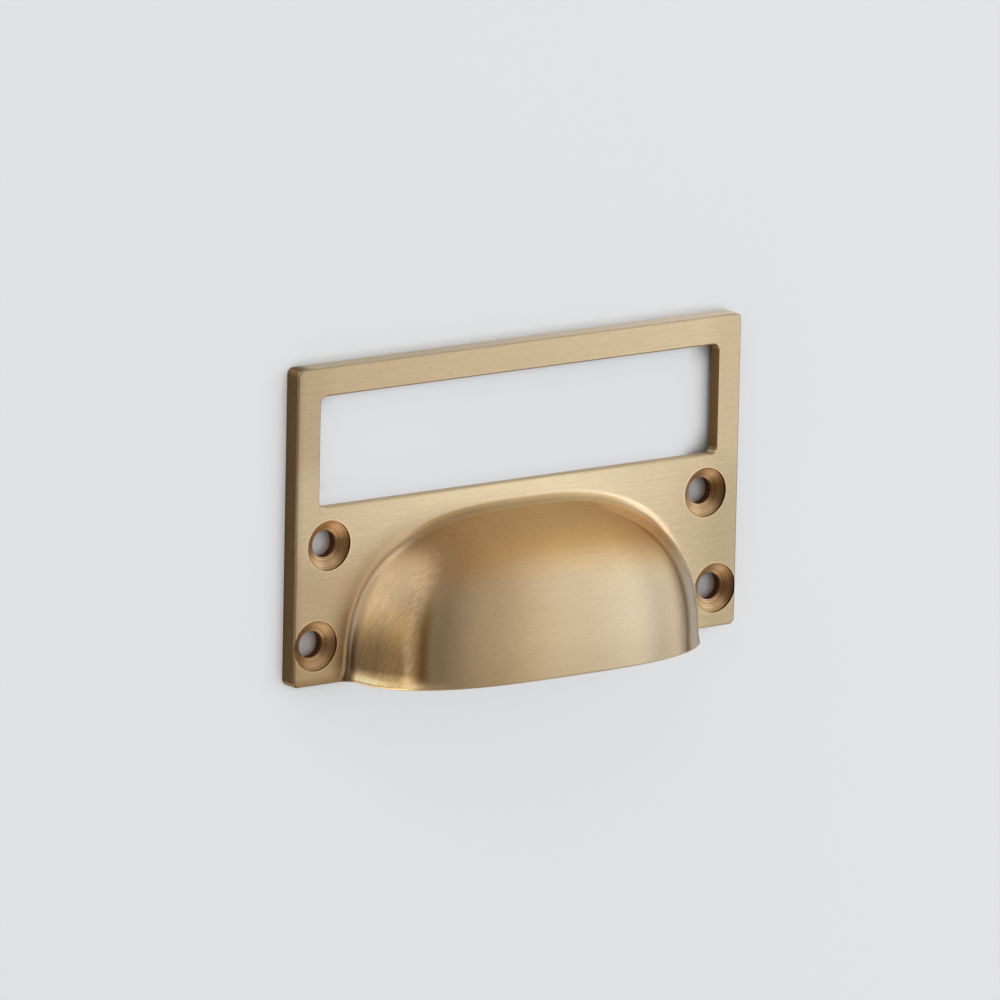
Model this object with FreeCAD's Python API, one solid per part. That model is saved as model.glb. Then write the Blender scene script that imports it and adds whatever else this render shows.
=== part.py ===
import FreeCAD, Part
import math
import os

from FreeCAD import Vector

# A label frame pull for a drawer: one brass casting, with a card window above a finger cup.
# Millimetres. X runs along the drawer front, Y into the drawer and Z up.
# The origin lies on the mounting face, midway between the two upper screw holes.

# Back plate
PLATE_WIDTH = 76.0
PLATE_HEIGHT = 45.2
PLATE_THICKNESS = 2.7
PLATE_CORNER_RADIUS = 0.9
EDGE_ROUND = 0.35

# Finger cup, open below and behind
CUP_SIDE_MARGIN = 9.7
CUP_HEIGHT = 22.0
CUP_PROJECTION = 13.75
CUP_WALL = 2.0
CUP_PLAN_FULLNESS = 2.95
CUP_RISE_FULLNESS = 2.75
CUP_ROOT_FILLET = 1.5

# Card window above the cup, with a rebate behind its lip that holds the card
WINDOW_SIDE_MARGIN = 4.0
WINDOW_TOP_MARGIN = 4.1
WINDOW_ABOVE_CUP = 3.25
WINDOW_CORNER_RADIUS = 1.0
WINDOW_EDGE_BREAK = 0.2
CARD_LIP_THICKNESS = 1.6
CARD_REBATE_BORDER = 1.5

# Countersunk screw holes, an upper pair below the window and a lower pair near the plate's edges.
# A land is the strip of plate left between a countersink and the edge beside it.
SCREW_BORE_DIAMETER = 3.9
COUNTERSINK_DIAMETER = 7.2
COUNTERSINK_STEP = 0.35
COUNTERSINK_DEPTH = 1.35
UPPER_SIDE_LAND = 2.1
UPPER_WINDOW_LAND = 1.85
LOWER_SIDE_LAND = 0.1
LOWER_BOTTOM_LAND = 2.1

# The two ends of the cup's rim, which flare out beside the plate
RIM_FLARE = 0.7
RIM_FLARE_HEIGHT = 2.4
RIM_FLARE_SPAN = math.radians(35.0)

# The inner edge of the rim, eased where the fingers pull
INNER_EASE = 0.5
INNER_EASE_HEIGHT = 1.0

# Rows of points that carry the cup's surface, closer together towards the rim
PLAN_STEPS = 32
RISE_STEPS = 20
RISE_CROWDING = 1.6

# How far a cutting body reaches past the faces it cuts
CUT_OVERRUN = 2.0

# How near a point has to be to count as lying in a plane
PLANE_TOLERANCE = 0.001

CUP_WIDTH = PLATE_WIDTH - 2.0 * CUP_SIDE_MARGIN
WINDOW_SILL_HEIGHT = CUP_HEIGHT + WINDOW_ABOVE_CUP
WINDOW_WIDTH = PLATE_WIDTH - 2.0 * WINDOW_SIDE_MARGIN
WINDOW_HEIGHT = PLATE_HEIGHT - WINDOW_TOP_MARGIN - WINDOW_SILL_HEIGHT
COUNTERSINK_RADIUS = COUNTERSINK_DIAMETER / 2.0
UPPER_HOLE_X = PLATE_WIDTH / 2.0 - UPPER_SIDE_LAND - COUNTERSINK_RADIUS
UPPER_HOLE_HEIGHT = WINDOW_SILL_HEIGHT - UPPER_WINDOW_LAND - COUNTERSINK_RADIUS
LOWER_HOLE_X = PLATE_WIDTH / 2.0 - LOWER_SIDE_LAND - COUNTERSINK_RADIUS
LOWER_HOLE_HEIGHT = LOWER_BOTTOM_LAND + COUNTERSINK_RADIUS

FRONT_Y = -PLATE_THICKNESS
BOTTOM_Z = -UPPER_HOLE_HEIGHT
CUP_ROOT_Y = FRONT_Y / 2.0
CUP_DEPTH = CUP_PROJECTION + CUP_ROOT_Y - FRONT_Y
PLATE_CENTRE_Z = BOTTOM_Z + PLATE_HEIGHT / 2.0
WINDOW_CENTRE_Z = BOTTOM_Z + WINDOW_SILL_HEIGHT + WINDOW_HEIGHT / 2.0
LOWER_HOLE_Z = BOTTOM_Z + LOWER_HOLE_HEIGHT


def middle(edge):
    """The point halfway along an edge."""
    return edge.valueAt((edge.FirstParameter + edge.LastParameter) / 2.0)


def edges_in_plane(shape, axis, value):
    """The edges whose ends and middle share one coordinate."""
    found = []
    for edge in shape.Edges:
        points = [vertex.Point for vertex in edge.Vertexes] + [middle(edge)]
        if all(abs(getattr(point, axis) - value) < PLANE_TOLERANCE for point in points):
            found.append(edge)
    return found


def rounded_slab(width, height, centre_z, near_y, far_y, corner_radius):
    """An upright slab from near_y back to far_y, with the four corners of its outline rounded."""
    corner = Vector(-width / 2.0, near_y, centre_z - height / 2.0)
    slab = Part.makeBox(width, far_y - near_y, height, corner)
    corners = [edge for edge in slab.Edges if edge.BoundBox.YLength > far_y - near_y - PLANE_TOLERANCE]
    return slab.makeFillet(corner_radius, corners)


def superellipse_reach(angle, across, along, fullness):
    """Distance from the centre of a superellipse to its outline, at an angle from its first axis."""
    first = abs(math.cos(angle) / across) ** fullness
    second = abs(math.sin(angle) / along) ** fullness
    return (first + second) ** (-1.0 / fullness)


def flared_ends(plan_angle, rise):
    """How far the outside spreads near the rim: most at the two ends, and nothing round the front."""
    from_end = min(plan_angle, math.pi - plan_angle)
    along = max(0.0, 1.0 - (from_end / RIM_FLARE_SPAN) ** 2)
    up = max(0.0, 1.0 - rise / RIM_FLARE_HEIGHT)
    return RIM_FLARE * along ** 2 * up ** 2


def eased_rim(plan_angle, rise):
    """How far the inside spreads near the rim, all the way round."""
    up = max(0.0, 1.0 - rise / INNER_EASE_HEIGHT)
    return INNER_EASE * up ** 2


def hood_point(plan_angle, rise_angle, half_width, depth, height, spread):
    """A point of a hood: a superellipse in plan that closes in along another one as it rises."""
    plan_reach = superellipse_reach(plan_angle, half_width, depth, CUP_PLAN_FULLNESS)
    rise_reach = superellipse_reach(rise_angle, 1.0, 1.0, CUP_RISE_FULLNESS)
    rise = height * rise_reach * math.sin(rise_angle)
    reach = plan_reach * rise_reach * math.cos(rise_angle) + spread(plan_angle, rise)
    x = -reach * math.cos(plan_angle)
    y = CUP_ROOT_Y - reach * math.sin(plan_angle)
    return Vector(x, y, BOTTOM_Z + rise)


def hood_skin(half_width, depth, height, spread):
    """A hood's curved face, from its rim in the bottom plane up to one point inside the plate."""
    plan_angles = [math.pi * step / PLAN_STEPS for step in range(PLAN_STEPS + 1)]
    rise_shares = [(step / RISE_STEPS) ** RISE_CROWDING for step in range(RISE_STEPS + 1)]
    rows = []
    for share in rise_shares:
        rise = share * math.pi / 2.0
        rows.append([hood_point(plan, rise, half_width, depth, height, spread) for plan in plan_angles])
    surface = Part.BSplineSurface()
    surface.interpolate(rows)
    return surface.toShape()


def hood(half_width, depth, height, spread):
    """A solid half hood and its flat back, which lies inside the plate."""
    skin = hood_skin(half_width, depth, height, spread)
    rim = edges_in_plane(skin, "z", BOTTOM_Z)
    arch = [edge for edge in edges_in_plane(skin, "y", CUP_ROOT_Y) if not edge.Degenerated]
    sill_end = half_width + spread(0.0, 0.0)
    sill = Part.makeLine(Vector(-sill_end, CUP_ROOT_Y, BOTTOM_Z), Vector(sill_end, CUP_ROOT_Y, BOTTOM_Z))
    bottom = Part.Face(Part.Wire(Part.__sortEdges__(rim + [sill])))
    back = Part.Face(Part.Wire(Part.__sortEdges__(arch + [sill])))
    shell = Part.Shell([skin, bottom, back])
    shell.sewShape()
    return Part.Solid(shell), back


def cup_body():
    """The finger cup, still solid."""
    solid, back = hood(CUP_WIDTH / 2.0, CUP_DEPTH, CUP_HEIGHT, flared_ends)
    return solid


def finger_hollow():
    """The space inside the cup, which runs out through the back of the plate."""
    half_width = CUP_WIDTH / 2.0 - CUP_WALL
    solid, back = hood(half_width, CUP_DEPTH - CUP_WALL, CUP_HEIGHT - CUP_WALL, eased_rim)
    way_out = back.extrude(Vector(0, CUT_OVERRUN - CUP_ROOT_Y, 0))
    return solid.fuse(way_out)


def card_window():
    """The window through the plate."""
    near_y = FRONT_Y - CUT_OVERRUN
    return rounded_slab(
        WINDOW_WIDTH, WINDOW_HEIGHT, WINDOW_CENTRE_Z, near_y, CUT_OVERRUN, WINDOW_CORNER_RADIUS
    )


def card_rebate():
    """The shallow recess behind the window's lip, where the card lies."""
    width = WINDOW_WIDTH + 2.0 * CARD_REBATE_BORDER
    height = WINDOW_HEIGHT + 2.0 * CARD_REBATE_BORDER
    lip_back_y = FRONT_Y + CARD_LIP_THICKNESS
    return rounded_slab(width, height, WINDOW_CENTRE_Z, lip_back_y, CUT_OVERRUN, WINDOW_CORNER_RADIUS)


def screw_hole(x, z):
    """A screw's bore, with a countersink that starts in a short straight step."""
    bore = SCREW_BORE_DIAMETER / 2.0
    outer_y = FRONT_Y - CUT_OVERRUN
    outline = [
        Vector(x, outer_y, z),
        Vector(x + COUNTERSINK_RADIUS, outer_y, z),
        Vector(x + COUNTERSINK_RADIUS, FRONT_Y + COUNTERSINK_STEP, z),
        Vector(x + bore, FRONT_Y + COUNTERSINK_DEPTH, z),
        Vector(x + bore, CUT_OVERRUN, z),
        Vector(x, CUT_OVERRUN, z),
        Vector(x, outer_y, z),
    ]
    half_section = Part.Face(Part.makePolygon(outline))
    return half_section.revolve(Vector(x, 0, z), Vector(0, 1, 0), 360)


def screw_holes():
    """The upper and the lower pair of screw holes."""
    holes = []
    for side in (-1.0, 1.0):
        holes.append(screw_hole(side * UPPER_HOLE_X, 0.0))
        holes.append(screw_hole(side * LOWER_HOLE_X, LOWER_HOLE_Z))
    return holes


def blend_cup_root(body):
    """Fillets the line where the cup stands out of the plate's front."""
    edges = edges_in_plane(body, "y", FRONT_Y)
    root = [edge for edge in edges if edge.Curve.TypeId == "Part::GeomBSplineCurve"]
    return body.makeFillet(CUP_ROOT_FILLET, root)


def round_front_edges(body):
    """Rounds the plate's outline and the cup's rim, which meet in one smooth line."""
    front = edges_in_plane(body, "y", FRONT_Y)
    outline = [edge for edge in front if edge.Curve.TypeId != "Part::GeomBSplineCurve"]
    below = edges_in_plane(body, "z", BOTTOM_Z)
    rim = [edge for edge in below if middle(edge).y < FRONT_Y - PLANE_TOLERANCE]
    return body.makeFillet(EDGE_ROUND, outline + rim)


def chamfer_window_edge(body):
    """Breaks the front edge of the window."""
    half_width = WINDOW_WIDTH / 2.0 + PLANE_TOLERANCE
    half_height = WINDOW_HEIGHT / 2.0 + PLANE_TOLERANCE
    edges = []
    for edge in edges_in_plane(body, "y", FRONT_Y):
        point = middle(edge)
        if abs(point.x) < half_width and abs(point.z - WINDOW_CENTRE_Z) < half_height:
            edges.append(edge)
    return body.makeChamfer(WINDOW_EDGE_BREAK, edges)


def label_frame_pull():
    """The whole casting."""
    plate = rounded_slab(PLATE_WIDTH, PLATE_HEIGHT, PLATE_CENTRE_Z, FRONT_Y, 0.0, PLATE_CORNER_RADIUS)
    body = plate.fuse(cup_body()).removeSplitter()
    body = blend_cup_root(body)
    body = round_front_edges(body)
    body = body.cut(finger_hollow())
    body = body.cut(card_window())
    body = chamfer_window_edge(body)
    body = body.cut(card_rebate())
    body = body.cut(screw_holes())
    return body.Solids[0]


os.makedirs("parts", exist_ok=True)
label_frame_pull().exportStep("parts/label_frame_pull.step")
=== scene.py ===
import math
from types import SimpleNamespace

import bpy
from mathutils import Matrix, Vector


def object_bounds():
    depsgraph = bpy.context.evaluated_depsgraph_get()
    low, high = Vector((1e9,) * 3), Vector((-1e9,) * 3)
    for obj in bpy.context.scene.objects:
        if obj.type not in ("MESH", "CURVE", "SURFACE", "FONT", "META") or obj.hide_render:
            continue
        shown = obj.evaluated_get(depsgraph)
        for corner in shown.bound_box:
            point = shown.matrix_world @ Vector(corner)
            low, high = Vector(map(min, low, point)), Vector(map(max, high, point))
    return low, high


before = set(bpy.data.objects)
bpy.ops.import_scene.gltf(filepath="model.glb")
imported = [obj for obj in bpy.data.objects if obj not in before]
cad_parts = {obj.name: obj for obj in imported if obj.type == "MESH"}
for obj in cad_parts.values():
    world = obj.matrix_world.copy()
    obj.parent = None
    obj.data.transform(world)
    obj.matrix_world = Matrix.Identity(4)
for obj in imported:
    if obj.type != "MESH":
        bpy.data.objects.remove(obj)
CAD_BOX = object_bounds()

# Metres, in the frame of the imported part: front towards -Y, up +Z, back of the plate at Y = 0.
# Shaders work in millimetres, so that their numbers are sizes on the object.
MM = 0.001

# The photograph's camera: where it stands, what it aims at and how far it is turned
VIEW_AZIMUTH = math.radians(-35.58)
VIEW_ELEVATION = math.radians(13.05)
VIEW_ROLL = math.radians(1.17)
VIEW_DISTANCE = 1.905
VIEW_LENS = 489.8
VIEW_SENSOR = 36.0
VIEW_CENTRE = Vector((0.0, -1.5 * MM, 3.2 * MM))
VIEW_OFFSET_RIGHT = -2.05 * MM
VIEW_OFFSET_UP = -0.71 * MM
VIEW_CLIP = (0.05, 20.0)

# The casting's own sizes, in millimetres
PLATE_FRONT_Y = -2.7
UPPER_HOLE = (32.3, 0.0)
LOWER_HOLE = (34.3, -14.1)
BORE_RADIUS = 1.95
COUNTERSINK_RADIUS = 3.6
CUP_HALF_WIDTH = 28.3
CUP_DEPTH = 15.1
CUP_HEIGHT = 22.0
CUP_ROOT_Y = -1.35
CUP_PLAN_FULLNESS = 2.95
CUP_RISE_FULLNESS = 2.75
CUP_BOTTOM_Z = -19.8
CUP_INSIDE_SHARE = 0.955

# How near is on a surface, in millimetres, and how straight a flat face looks along Y
NEAR = 0.06
STRAIGHT = 0.999

# Brush lines on the cup's ends lean this far towards its front as they rise
END_BRUSH_LEAN = math.radians(-19.0)

# The wall, in metres: its gap behind the plate, the rays so short that it is clear to them,
# how near a thing has to be to shade it, and half its width and height
WALL_GAP = 0.02 * MM
WALL_CLEAR_REACH = 4.0 * WALL_GAP
WALL_SHADE_REACH = 4.0 * MM
WALL_HALF_SIZE = 2.5

# Finishes of the casting, in the order of its material slots
SATIN, MACHINED, BORE, CAST = range(4)

# Soft boxes round the object: azimuth and elevation in degrees, width and height in metres,
# and watts for each colour. Apart from the two behind, the watts and the room's colour are rounded
# from a fit of the light to the photograph.
SOFTBOX_DISTANCE = 0.6
SOFTBOXES = {
    "middle": (-2, 3, 0.13, 0.62, (0.07, 0.07, 0.07)),
    "front": (10, 3, 0.13, 0.62, (0.21, 0.21, 0.21)),
    "key_left": (22, 3, 0.13, 0.62, (0.26, 0.25, 0.24)),
    "key": (34, 3, 0.13, 0.62, (0.44, 0.445, 0.45)),
    "key_right": (46, 3, 0.13, 0.62, (0.79, 0.88, 0.96)),
    "right": (58, 3, 0.13, 0.62, (0.32, 0.37, 0.42)),
    "right_far": (70, 3, 0.13, 0.62, (0.58, 0.60, 0.62)),
    "left": (-70, 20, 0.26, 0.36, (0.77, 0.77, 0.77)),
    "left_high": (-72, 57, 0.34, 0.36, (1.45, 1.45, 1.45)),
    "left_low": (-64, -50, 0.34, 0.36, (1.37, 1.37, 1.37)),
    "top": (-5, 58, 0.60, 0.30, (0.40, 0.39, 0.38)),
    "floor": (10, -58, 0.60, 0.30, (0.23, 0.22, 0.21)),
    "behind_left": (-140, 25, 0.40, 0.40, (2.4, 2.4, 2.4)),
    "behind_right": (150, 10, 0.40, 0.40, (1.6, 1.6, 1.6)),
}
ROOM_COLOUR = (0.276, 0.24, 0.212)


class Shader:
    """A material whose nodes are written as short calls."""

    MIX_SOCKETS = {"FLOAT": (2, 3, 0), "VECTOR": (4, 5, 1), "RGBA": (6, 7, 2)}

    def __init__(self, name):
        self.material = bpy.data.materials.new(name)
        self.material.use_nodes = True
        self.tree = self.material.node_tree
        self.tree.nodes.clear()

    def node(self, kind, inputs, **settings):
        """A new node with its settings and inputs."""
        made = self.tree.nodes.new("ShaderNode" + kind)
        for key, value in settings.items():
            setattr(made, key, value)
        for key, value in inputs.items():
            self.put(made.inputs[key], value)
        return made

    def put(self, socket, value):
        """Links an input to another node's output, or sets its number."""
        if isinstance(value, bpy.types.NodeSocket):
            self.tree.links.new(value, socket)
        else:
            socket.default_value = value

    def math(self, operation, first, second=0.0):
        return self.node("Math", {0: first, 1: second}, operation=operation).outputs[0]

    def vector(self, operation, first, second):
        return self.node("VectorMath", {0: first, 1: second}, operation=operation).outputs[0]

    def ramp(self, value, start, end, low=0.0, high=1.0):
        """Runs smoothly from low to high as value goes from start to end."""
        inputs = {"Value": value, "From Min": start, "From Max": end, "To Min": low, "To Max": high}
        return self.node("MapRange", inputs, interpolation_type="SMOOTHSTEP").outputs["Result"]

    def band(self, value, start, peak, end):
        """Rises smoothly from start to its peak and falls again to end."""
        return self.math("MINIMUM", self.ramp(value, start, peak), self.ramp(value, end, peak))

    def mix(self, kind, share, first, second, **settings):
        """Two numbers, vectors or colours mixed by the second one's share."""
        first_socket, second_socket, result = self.MIX_SOCKETS[kind]
        inputs = {0: share, first_socket: first, second_socket: second}
        return self.node("Mix", inputs, data_type=kind, **settings).outputs[result]

    def colour(self, share, first, second):
        """A colour between two others."""
        return self.mix("RGBA", share, (*first, 1.0), (*second, 1.0))

    def over(self, share, under, colour):
        """A colour laid over another by a share."""
        return self.mix("RGBA", share, under, (*colour, 1.0))

    def shade(self, colour, level):
        """A colour made lighter or darker by a number."""
        grey = self.node("CombineColor", {0: level, 1: level, 2: level}).outputs[0]
        return self.mix("RGBA", 1.0, colour, grey, blend_type="MULTIPLY")

    def tints(self, colour, *layers):
        """A colour multiplied by others, each by its share."""
        for share, factor in layers:
            stained = self.mix("RGBA", 1.0, colour, (*factor, 1.0), blend_type="MULTIPLY")
            colour = self.mix("RGBA", share, colour, stained)
        return colour

    def product(self, first, *others):
        """Several shares multiplied together."""
        for other in others:
            first = self.math("MULTIPLY", first, other)
        return first

    def place(self):
        """Place on the object in millimetres, as a vector and as x, y, z."""
        coordinates = self.node("TexCoord", {})
        place = self.vector("MULTIPLY", coordinates.outputs["Object"], (1 / MM, 1 / MM, 1 / MM))
        return place, self.node("SeparateXYZ", {0: place}).outputs

    def normal(self):
        """The surface's direction on the object, as a vector and as x, y, z."""
        normal = self.node("TexCoord", {}).outputs["Normal"]
        return normal, self.node("SeparateXYZ", {0: normal}).outputs

    def noise(self, place, stretch, detail=2.0, roughness=0.5):
        """Noise with about stretch grains per millimetre along x, y and z."""
        grains = self.vector("MULTIPLY", place, stretch)
        inputs = {"Vector": grains, "Scale": 1.0, "Detail": detail, "Roughness": roughness}
        return self.node("TexNoise", inputs).outputs["Fac"]

    def bump(self, height, strength, distance):
        """The surface's direction on a relief of so many millimetres."""
        inputs = {"Height": height, "Strength": strength, "Distance": distance * MM}
        return self.node("Bump", inputs).outputs[0]

    def done(self, shader):
        """The material, with its shader on the surface."""
        self.node("OutputMaterial", {"Surface": shader.outputs[0]})
        return self.material


def hole_reach(s, x, z):
    """Distance from the axis of the nearest screw hole."""
    out = s.math("ABSOLUTE", x)
    reaches = []
    for hole_x, hole_z in (UPPER_HOLE, LOWER_HOLE):
        across = s.math("SUBTRACT", out, hole_x)
        up = s.math("SUBTRACT", z, hole_z)
        squares = s.math("ADD", s.math("MULTIPLY", across, across), s.math("MULTIPLY", up, up))
        reaches.append(s.math("SQRT", squares))
    return s.math("MINIMUM", *reaches)


def cup_arch(s, x, z):
    """1 where the cup's outline meets the plate, less inside it and more outside."""
    wide = s.math("DIVIDE", s.math("ABSOLUTE", x), CUP_HALF_WIDTH)
    risen = s.math("MAXIMUM", s.math("DIVIDE", s.math("SUBTRACT", z, CUP_BOTTOM_Z), CUP_HEIGHT), 0.0)
    return s.math("ADD", s.math("POWER", wide, CUP_RISE_FULLNESS), s.math("POWER", risen, CUP_RISE_FULLNESS))


def satin_places(s):
    """Place, direction and the regions that the satin finish changes over."""
    at = SimpleNamespace()
    at.place, (at.x, at.y, at.z) = s.place()
    at.normal, (at.facing_x, at.facing_y, at.facing_z) = s.normal()
    at.out = s.math("ABSOLUTE", at.x)
    at.off_plate = s.ramp(at.y, PLATE_FRONT_Y - 0.5, PLATE_FRONT_Y - 1.9)
    at.sideways = s.math("ABSOLUTE", at.facing_x)
    at.endways = s.ramp(at.sideways, 0.42, 0.92)
    forward = s.math("SUBTRACT", CUP_ROOT_Y, at.y)
    at.turn = s.math("DEGREES", s.math("ARCTAN2", forward, at.out))
    at.flare = s.product(at.off_plate, s.ramp(at.turn, 28.0, 22.0), s.ramp(at.z, -17.2, -18.3))
    at.arch = cup_arch(s, at.x, at.z)
    return at


# The tints below were set until the render came near the photograph, so many of them are painted light:
# highlights, reflections and shade drawn into the casting's colour and fixed to the object.
def plate_tone(s, at, cloud):
    """The plate's front: painted light under the window and round the cup, painted shade towards its ends.
    """
    # Painted sheen: lighter and cooler in a band under the window.
    sheen_under_window = s.product(
        s.ramp(at.z, -6.0, 3.0),
        s.ramp(at.z, 14.0, 8.0),
        s.ramp(at.x, 32.0, 0.0),
        s.ramp(at.x, -34.0, -10.0, 0.45, 1.0),
    )
    # Painted light: lighter in a band just round the cup.
    light_beside_cup = s.product(
        s.band(at.arch, 1.03, 1.085, 1.22),
        s.ramp(at.z, -15.0, -8.0),
        s.ramp(at.z, 3.0, -1.0),
    )
    # Painted shade: darker at both ends, low on the right, along the left edge and low on the left.
    right_low = s.product(s.ramp(at.x, 24.0, 33.0), s.ramp(at.z, 8.0, -2.0))
    right_end = s.ramp(at.x, 31.0, 35.0)
    left_end = s.ramp(at.x, -31.0, -35.0)
    left_low = s.product(s.ramp(at.x, -25.0, -33.0), s.ramp(at.z, 0.0, -6.0))
    left_edge = s.ramp(at.x, -36.4, -38.0)
    foot = s.product(s.ramp(at.x, -28.0, -34.0), s.ramp(at.z, -13.0, -18.0))
    foot_edge = s.product(s.ramp(at.x, -20.0, -26.0), s.ramp(at.z, -18.2, -19.4))
    # Painted shade on the window's rounded edges, and a painted highlight on its bottom edge.
    chamfer = s.product(
        s.ramp(at.facing_y, -0.97, -0.80),
        s.ramp(at.z, 4.6, 4.8),
        s.ramp(at.z, 22.0, 21.8),
        s.ramp(at.out, 34.8, 34.6),
    )
    window_edge_shade = s.product(chamfer, s.ramp(at.facing_z, 0.45, 0.15))
    sill_edge_highlight = s.product(chamfer, s.ramp(at.facing_z, 0.15, 0.45))
    reach = hole_reach(s, at.x, at.z)
    # Painted highlight: a pale, cooler ring round the lip of each countersink.
    lip_highlight = s.band(reach, COUNTERSINK_RADIUS - 0.1, COUNTERSINK_RADIUS + 0.06, COUNTERSINK_RADIUS + 0.25)
    return s.tints(
        s.colour(cloud, (0.49, 0.375, 0.235), (0.52, 0.40, 0.255)),
        (sheen_under_window, (1.33, 1.43, 1.50)),
        (light_beside_cup, (1.42, 1.39, 1.35)),
        (right_low, (0.83, 0.83, 0.79)),
        (right_end, (0.89, 0.89, 0.89)),
        (left_end, (0.92, 0.92, 0.91)),
        (left_low, (0.97, 0.955, 0.93)),
        (left_edge, (0.84, 0.80, 0.75)),
        (foot, (0.88, 0.85, 0.77)),
        (foot_edge, (0.76, 0.71, 0.63)),
        (window_edge_shade, (0.62, 0.54, 0.45)),
        (sill_edge_highlight, (1.20, 1.18, 1.12)),
        (lip_highlight, (1.22, 1.26, 1.30)),
    )


def cup_tone(s, at, cloud):
    """The cup, with painted light: warmer painted shade on its crown, greyer painted reflections to the
    right, brown painted dark reflections beside its ends and painted highlights on them.
    """
    on_left = s.ramp(at.x, 10.0, -10.0)
    on_right = s.ramp(at.x, 10.0, 14.0)
    # Painted shade on the crown: browner in the middle, dark brown to the right, darker to the left.
    crown = s.product(s.ramp(at.facing_z, 0.28, 0.72), s.ramp(at.endways, 0.6, 0.0))
    crown_middle = s.product(crown, s.ramp(at.x, -24.0, -8.0))
    crown_right = s.product(crown, s.ramp(at.x, 0.0, 18.0))
    crown_left = s.product(crown, s.band(at.x, -25.0, -16.0, -9.0))
    # Painted reflections on the front: greyer and cooler to the right, lighter in the middle and near the
    # top.
    front_right = s.product(s.ramp(at.x, -12.0, 14.0), s.ramp(at.facing_z, 0.5, 0.15))
    far_right = s.ramp(at.x, 17.0, 23.0)
    front_middle = s.product(s.band(at.x, -14.0, 0.0, 13.0), s.ramp(at.facing_z, 0.75, 0.45))
    front_top = s.product(front_middle, s.band(at.facing_z, 0.1, 0.45, 0.75))
    # Painted shade: darker low on the front.
    front_foot = s.product(s.ramp(at.z, -13.0, -19.0), s.ramp(at.turn, 32.0, 40.0))
    # Painted highlight on the right end, and beside it a painted dark reflection in a brown band.
    right_end = s.product(s.ramp(at.turn, 29.5, 27.5), on_right)
    right_dark_reflection = s.product(s.band(at.turn, 26.5, 29.2, 31.0), on_right, s.ramp(at.z, 1.5, -3.0))
    # Painted dark reflection: a brown band between the left end and the front.
    left_dark_reflection = s.product(
        s.band(at.turn, 21.5, 26.0, 29.0),
        on_left,
        s.ramp(at.z, -3.0, -12.0),
        s.ramp(at.z, -19.3, -17.8),
    )
    left_end = s.product(at.endways, on_left)
    left_end_low = s.product(left_end, s.ramp(at.z, -6.0, -12.0), s.ramp(at.z, -18.3, -17.2))
    # Painted highlights: pale on the left end's shoulder and lighter beside its root.
    shoulder_highlight = s.product(left_end, s.band(at.facing_z, 0.08, 0.48, 0.9), s.ramp(at.y, -12.5, -6.5))
    light_beside_root = s.product(left_end, s.band(at.z, -18.0, -13.5, -7.0), s.ramp(at.y, -8.0, -4.5))
    # Painted highlights on the rolled corner, on the flare low on the left end and on the rim's corner.
    roll_highlight = s.product(on_left, s.band(at.turn, 11.0, 19.0, 26.0), s.ramp(at.z, -6.0, -12.0))
    flare_highlight = s.product(at.flare, on_left)
    rim_corner_highlight = s.product(on_left, s.band(at.turn, 20.0, 27.0, 36.0), s.ramp(at.z, -18.4, -19.3))
    return s.tints(
        s.colour(cloud, (0.49, 0.365, 0.215), (0.515, 0.385, 0.23)),
        (crown_middle, (1.11, 0.92, 0.64)),
        (crown_right, (0.60, 0.50, 0.42)),
        (crown_left, (0.90, 0.815, 0.72)),
        (front_right, (0.92, 0.955, 1.08)),
        (far_right, (1.0, 1.05, 1.12)),
        (front_middle, (1.08, 1.09, 1.12)),
        (front_top, (1.05, 1.07, 1.11)),
        (right_end, (1.26, 1.29, 1.33)),
        (right_dark_reflection, (0.70, 0.57, 0.42)),
        (left_dark_reflection, (0.47, 0.36, 0.22)),
        (front_foot, (0.92, 0.91, 0.89)),
        (shoulder_highlight, (1.80, 1.90, 2.05)),
        (left_end_low, (1.0, 0.97, 0.87)),
        (light_beside_root, (1.28, 1.24, 1.20)),
        (roll_highlight, (1.34, 1.22, 1.06)),
        (flare_highlight, (1.66, 1.64, 1.56)),
        (rim_corner_highlight, (1.55, 1.52, 1.42)),
    )


def side_tone(s, at):
    """The plate's sides: bare brown, a painted reflection on the window's right reveal, painted light where
    they face up, and a lighter brown on the window's sill.
    """
    speckle = s.noise(at.place, (2.5, 2.5, 1.2), 4.0, 0.6)
    # Painted reflection: the window's right reveal is lighter brown.
    right_reveal_reflection = s.product(s.ramp(at.facing_x, -0.5, -0.9), s.ramp(at.x, 30.0, 33.0))
    bare = s.tints(
        s.colour(speckle, (0.15, 0.09, 0.036), (0.25, 0.162, 0.078)),
        (right_reveal_reflection, (1.30, 1.12, 0.90)),
    )
    # Painted light: faces that look up are lighter, more so to the right, and browner on the window's sill.
    lit_top = s.product(s.ramp(at.facing_z, 0.5, 0.9), s.ramp(at.x, -37.2, -34.5))
    bright = s.colour(s.ramp(at.x, -30.0, 30.0), (0.60, 0.51, 0.375), (0.75, 0.64, 0.50))
    bright = s.over(s.ramp(at.z, 12.0, 8.0), bright, (0.56, 0.44, 0.30))
    return s.mix("RGBA", lit_top, bare, bright)


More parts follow.
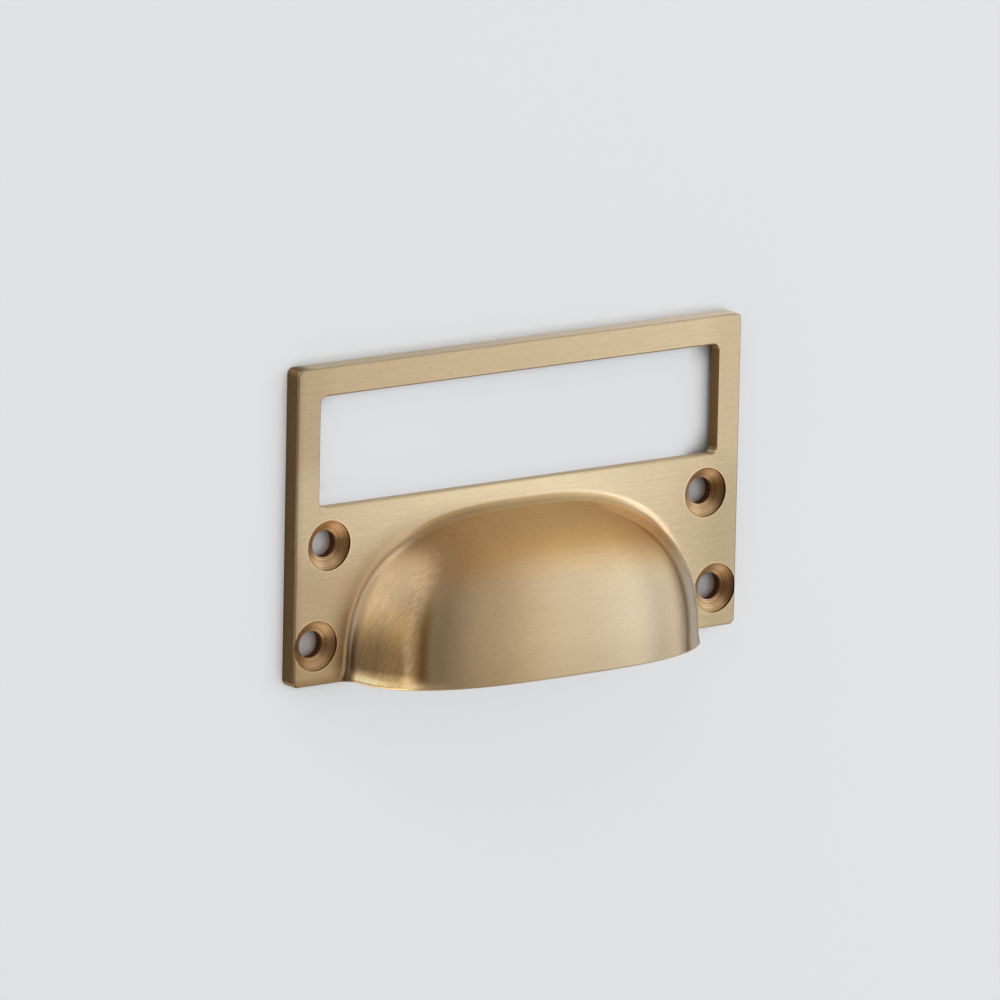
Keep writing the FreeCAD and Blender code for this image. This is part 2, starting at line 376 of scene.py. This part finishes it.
def satin_brass():
    """Brushed along the plate and the cup's front, slantwise up the cup's ends, and dark on the sides."""
    s = Shader("satin_brass")
    at = satin_places(s)
    cup_end = s.math("MULTIPLY", at.off_plate, at.endways)
    rolled = s.math("MULTIPLY", at.off_plate, s.band(at.turn, 13.0, 21.0, 30.0))

    lean = {"Vector": at.place, "Angle": END_BRUSH_LEAN}
    leaning = s.node("VectorRotate", lean, rotation_type="X_AXIS").outputs["Vector"]
    fine_front = s.noise(at.place, (0.12, 8.0, 8.0), 3.0, 0.6)
    fine_end = s.noise(leaning, (0.2, 8.0, 0.2), 3.0, 0.6)
    fleck = s.noise(leaning, (0.8, 4.0, 0.8), 2.0)
    fine = s.mix("FLOAT", cup_end, fine_front, fine_end)
    grain = s.noise(at.place, (5.0, 5.0, 5.0), 3.0, 0.6)
    cloud = s.noise(at.place, (0.07, 0.07, 0.07), 2.0)

    tone = s.mix("RGBA", at.off_plate, plate_tone(s, at, cloud), cup_tone(s, at, cloud))
    # Painted shade in the root round the cup, dark low on its ends and along its top; painted light on its
    # upper left.
    at_root = s.product(
        s.ramp(at.y, PLATE_FRONT_Y, PLATE_FRONT_Y - 0.15),
        s.ramp(at.y, PLATE_FRONT_Y - 1.4, PLATE_FRONT_Y - 0.5),
    )
    end_root_shade = s.product(at_root, s.ramp(at.sideways, 0.12, 0.45), s.ramp(at.z, -10.0, -17.0))
    top_root_shade = s.product(at_root, s.ramp(at.facing_z, 0.12, 0.4), s.ramp(at.out, 22.0, 15.0))
    left_root_light = s.product(at_root, s.ramp(at.x, -12.0, -18.0), s.ramp(at.z, -12.0, -6.0))
    tone = s.tints(
        tone,
        (end_root_shade, (0.36, 0.32, 0.26)),
        (top_root_shade, (0.74, 0.64, 0.50)),
        (left_root_light, (1.09, 1.075, 1.06)),
    )

    strength = s.mix("FLOAT", cup_end, 0.07, 0.13)
    streak = s.math("MULTIPLY", s.ramp(fine, 0.3, 0.7, -1.0, 1.0), strength)
    tone = s.shade(tone, s.math("ADD", 1.0, streak))
    flecked = s.math("MAXIMUM", rolled, s.math("MULTIPLY", cup_end, 0.5))
    flecks = s.math("MULTIPLY", s.ramp(fleck, 0.3, 0.7, -0.13, 0.13), flecked)
    tone = s.shade(tone, s.math("ADD", 1.0, flecks))
    tone = s.shade(tone, s.ramp(grain, 0.3, 0.7, 0.93, 1.07))
    on_side = s.ramp(at.y, PLATE_FRONT_Y + 0.08, PLATE_FRONT_Y + 0.4)
    tone = s.mix("RGBA", on_side, tone, side_tone(s, at))

    duller_end = s.math("MULTIPLY", s.ramp(at.flare, 1.0, 0.0, 0.0, 0.12), cup_end)
    roughness = s.math("ADD", s.ramp(fine, 0.25, 0.75, 0.44, 0.50), duller_end)
    coarse = s.math("ADD", 0.4, s.math("MULTIPLY", rolled, 1.2))
    height = s.math("ADD", fine, s.math("MULTIPLY", grain, coarse))
    across = s.vector("CROSS_PRODUCT", at.normal, (1.0, 0.0, 0.0))
    tangent = s.mix("VECTOR", at.endways, across, (0.0, 1.0, 0.0))
    return s.done(s.node("BsdfPrincipled", {
        "Base Color": tone,
        "Metallic": 1.0,
        "Roughness": roughness,
        "Anisotropic": 0.95,
        "Tangent": tangent,
        "Normal": s.bump(height, 0.2, 0.012),
    }))


def machined_brass():
    """The countersinks, with the rings that the cutter left, and painted highlights and shade."""
    s = Shader("machined_brass")
    place, (x, _, z) = s.place()
    _, (facing_x, _, facing_z) = s.normal()
    reach = hole_reach(s, x, z)
    rings = {"W": s.math("MULTIPLY", reach, 7.0), "Scale": 1.0, "Detail": 3.0}
    ring = s.node("TexNoise", rings, noise_dimensions="1D").outputs["Fac"]
    stain = s.noise(place, (0.9, 0.9, 0.9), 3.0)
    # Painted highlight where the countersinks face down; painted shade where they face left, in the right
    # holes and in a dark ring just inside the lip.
    facing_down = s.ramp(facing_z, -0.05, -0.45)
    facing_left = s.ramp(facing_x, -0.25, -0.5)
    in_right_holes = s.product(facing_left, s.ramp(x, -5.0, 5.0))
    outer_ring = s.ramp(reach, COUNTERSINK_RADIUS - 0.25, COUNTERSINK_RADIUS - 0.1)
    tone = s.tints(
        s.colour(stain, (0.46, 0.285, 0.145), (0.58, 0.395, 0.215)),
        (facing_down, (1.85, 1.82, 1.76)),
        (facing_left, (0.64, 0.57, 0.49)),
        (in_right_holes, (0.76, 0.72, 0.68)),
        (outer_ring, (0.62, 0.54, 0.45)),
    )
    tone = s.shade(tone, s.ramp(ring, 0.35, 0.65, 0.55, 1.15))
    return s.done(s.node("BsdfPrincipled", {
        "Base Color": tone,
        "Metallic": 1.0,
        "Roughness": s.ramp(ring, 0.3, 0.7, 0.42, 0.32),
        "Normal": s.bump(ring, 0.5, 0.06),
    }))


def bore_brass():
    """The drilled bores, dark and reddish."""
    s = Shader("bore_brass")
    place, _ = s.place()
    turns = s.noise(place, (0.6, 9.0, 0.6), 3.0)
    tone = s.colour(turns, (0.12, 0.048, 0.018), (0.26, 0.115, 0.05))
    return s.done(s.node("BsdfPrincipled", {
        "Base Color": tone,
        "Metallic": 1.0,
        "Roughness": s.ramp(turns, 0.3, 0.7, 0.55, 0.42),
        "Normal": s.bump(turns, 0.3, 0.05),
    }))


def cast_brass():
    """The back and the inside of the cup, as they came out of the mould."""
    s = Shader("cast_brass")
    place, _ = s.place()
    sand = s.noise(place, (2.2, 2.2, 2.2), 5.0, 0.6)
    stain = s.noise(place, (0.12, 0.12, 0.12), 3.0)
    tone = s.colour(stain, (0.26, 0.185, 0.10), (0.40, 0.30, 0.175))
    tone = s.shade(tone, s.ramp(sand, 0.3, 0.7, 0.8, 1.15))
    return s.done(s.node("BsdfPrincipled", {
        "Base Color": tone,
        "Metallic": 1.0,
        "Roughness": s.ramp(sand, 0.3, 0.7, 0.62, 0.48),
        "Normal": s.bump(sand, 0.6, 0.12),
    }))


def cup_share(x, y, z):
    """1 on the outside of the cup and less inside it."""
    plan = (abs(x) / CUP_HALF_WIDTH) ** CUP_PLAN_FULLNESS
    plan += (abs(y - CUP_ROOT_Y) / CUP_DEPTH) ** CUP_PLAN_FULLNESS
    rise = (abs(z - CUP_BOTTOM_Z) / CUP_HEIGHT) ** CUP_RISE_FULLNESS
    return plan ** (CUP_RISE_FULLNESS / CUP_PLAN_FULLNESS) + rise


def finish_of(face):
    """Which finish a face of the casting has, from its place and the way it faces."""
    x, y, z = face.center / MM
    flat = abs(face.normal.y) > STRAIGHT
    reach = min(math.hypot(abs(x) - hole_x, z - hole_z) for hole_x, hole_z in (UPPER_HOLE, LOWER_HOLE))
    if not flat and reach < BORE_RADIUS + NEAR:
        return BORE
    if not flat and reach < COUNTERSINK_RADIUS + NEAR:
        return MACHINED
    if y > PLATE_FRONT_Y and face.normal.y > 0.5:
        return CAST
    on_front = face.normal.y < -STRAIGHT and y < PLATE_FRONT_Y + NEAR
    if not on_front and z > CUP_BOTTOM_Z + NEAR and cup_share(x, y, z) < CUP_INSIDE_SHARE:
        return CAST
    return SATIN


def dress(node):
    """Gives each face of the casting its finish."""
    mesh = node.data
    mesh.materials.clear()
    for make in (satin_brass, machined_brass, bore_brass, cast_brass):
        mesh.materials.append(make())
    for face in mesh.polygons:
        face.material_index = finish_of(face)


def wall():
    """A pale painted wall behind the plate, clear from behind to the eye and to the light."""
    s = Shader("wall_paint")
    place, (x, _, z) = s.place()
    paint = s.noise(place, (0.35, 0.35, 0.35), 3.0)
    beside_holes = s.ramp(hole_reach(s, x, z), BORE_RADIUS - 0.05, BORE_RADIUS + 0.45)
    in_right_hole = s.product(s.ramp(beside_holes, 1.0, 0.0), s.ramp(x, 0.0, 5.0))
    outside_cup = s.math("MAXIMUM", s.ramp(cup_arch(s, x, z), 0.7, 1.0), s.ramp(z, -18.5, -20.5))
    # Painted light: just above the window's sill the wall's nearness shade is lifted.
    above_sill = s.product(
        s.ramp(z, 9.0, 6.5),
        s.ramp(z, 4.0, 5.0),
        s.ramp(x, -34.4, -33.4),
        s.ramp(x, 34.5, 27.0),
    )
    open_sky = s.node("AmbientOcclusion", {"Distance": WALL_SHADE_REACH}, samples=4).outputs["AO"]
    open_sky = s.math("MAXIMUM", open_sky, above_sill)

    colour = s.colour(paint, (0.755, 0.765, 0.775), (0.77, 0.78, 0.79))
    # Painted shade: the wall is darker where the casting is near, and darker still through the right holes.
    colour = s.shade(colour, s.ramp(open_sky, 0.2, 0.6, 0.35, 1.0))
    colour = s.shade(colour, s.ramp(in_right_hole, 0.0, 1.0, 1.0, 0.7))
    diffuse = s.node("BsdfDiffuse", {"Color": colour, "Normal": s.bump(paint, 0.1, 0.1)})
    glow = s.node("Emission", {"Color": (0.745, 0.76, 0.775, 1.0), "Strength": 1.0})
    rays = s.node("LightPath", {}).outputs
    seen = s.math("MAXIMUM", rays["Is Glossy Ray"], rays["Is Transmission Ray"])
    seen = s.math("MAXIMUM", rays["Is Camera Ray"], seen)
    share = s.product(seen, beside_holes, outside_cup, s.ramp(open_sky, 0.4, 0.85, 0.0, 0.74))
    front = s.node("MixShader", {0: share, 1: diffuse.outputs[0], 2: glow.outputs[0]})
    behind = s.node("NewGeometry", {}).outputs["Backfacing"]
    behind = s.math("MAXIMUM", behind, s.math("LESS_THAN", rays["Ray Length"], WALL_CLEAR_REACH))
    clear = s.node("BsdfTransparent", {})
    material = s.done(s.node("MixShader", {0: behind, 1: front.outputs[0], 2: clear.outputs[0]}))

    half = WALL_HALF_SIZE
    y = CAD_BOX[1].y + WALL_GAP
    mesh = bpy.data.meshes.new("wall")
    corners = [(-half, y, -half), (half, y, -half), (half, y, half), (-half, y, half)]
    mesh.from_pydata(corners, [], [(0, 1, 2, 3)])
    mesh.materials.append(material)
    made = bpy.data.objects.new("wall", mesh)
    bpy.context.scene.collection.objects.link(made)


def towards(azimuth, elevation):
    """The direction from the object to a place round it, for angles in radians."""
    level = math.cos(elevation)
    return Vector((math.sin(azimuth) * level, -math.cos(azimuth) * level, math.sin(elevation)))


def lights():
    """Soft boxes round the object, and a dim even room."""
    for name, (azimuth, elevation, width, height, levels) in SOFTBOXES.items():
        data = bpy.data.lights.new(name, "AREA")
        data.shape = "RECTANGLE"
        data.size = width
        data.size_y = height
        data.energy = max(levels)
        data.color = [level / max(levels) for level in levels]
        made = bpy.data.objects.new(name, data)
        direction = towards(math.radians(azimuth), math.radians(elevation))
        made.location = direction * SOFTBOX_DISTANCE
        made.rotation_mode = "QUATERNION"
        made.rotation_quaternion = direction.to_track_quat("Z", "Y")
        made.visible_camera = False
        bpy.context.scene.collection.objects.link(made)
    world = bpy.data.worlds.new("room")
    world.use_nodes = True
    room = world.node_tree.nodes["Background"]
    room.inputs["Color"].default_value = (*ROOM_COLOUR, 1.0)
    room.inputs["Strength"].default_value = 1.0
    bpy.context.scene.world = world


def camera():
    """The photograph's camera."""
    back = towards(VIEW_AZIMUTH, VIEW_ELEVATION)
    level = Vector((math.cos(VIEW_AZIMUTH), math.sin(VIEW_AZIMUTH), 0.0))
    upright = back.cross(level)
    right = math.cos(VIEW_ROLL) * level + math.sin(VIEW_ROLL) * upright
    up = math.cos(VIEW_ROLL) * upright - math.sin(VIEW_ROLL) * level
    aim = VIEW_CENTRE + VIEW_OFFSET_RIGHT * right + VIEW_OFFSET_UP * up
    turn = Matrix((right, up, back)).transposed().to_4x4()
    data = bpy.data.cameras.new("camera")
    data.lens = VIEW_LENS
    data.sensor_width = VIEW_SENSOR
    data.clip_start, data.clip_end = VIEW_CLIP
    made = bpy.data.objects.new("camera", data)
    made.matrix_world = Matrix.Translation(aim + VIEW_DISTANCE * back) @ turn
    bpy.context.scene.collection.objects.link(made)
    bpy.context.scene.camera = made


dress(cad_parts["label_frame_pull"])
wall()
lights()
camera()
bpy.context.scene.view_settings.view_transform = "Standard"
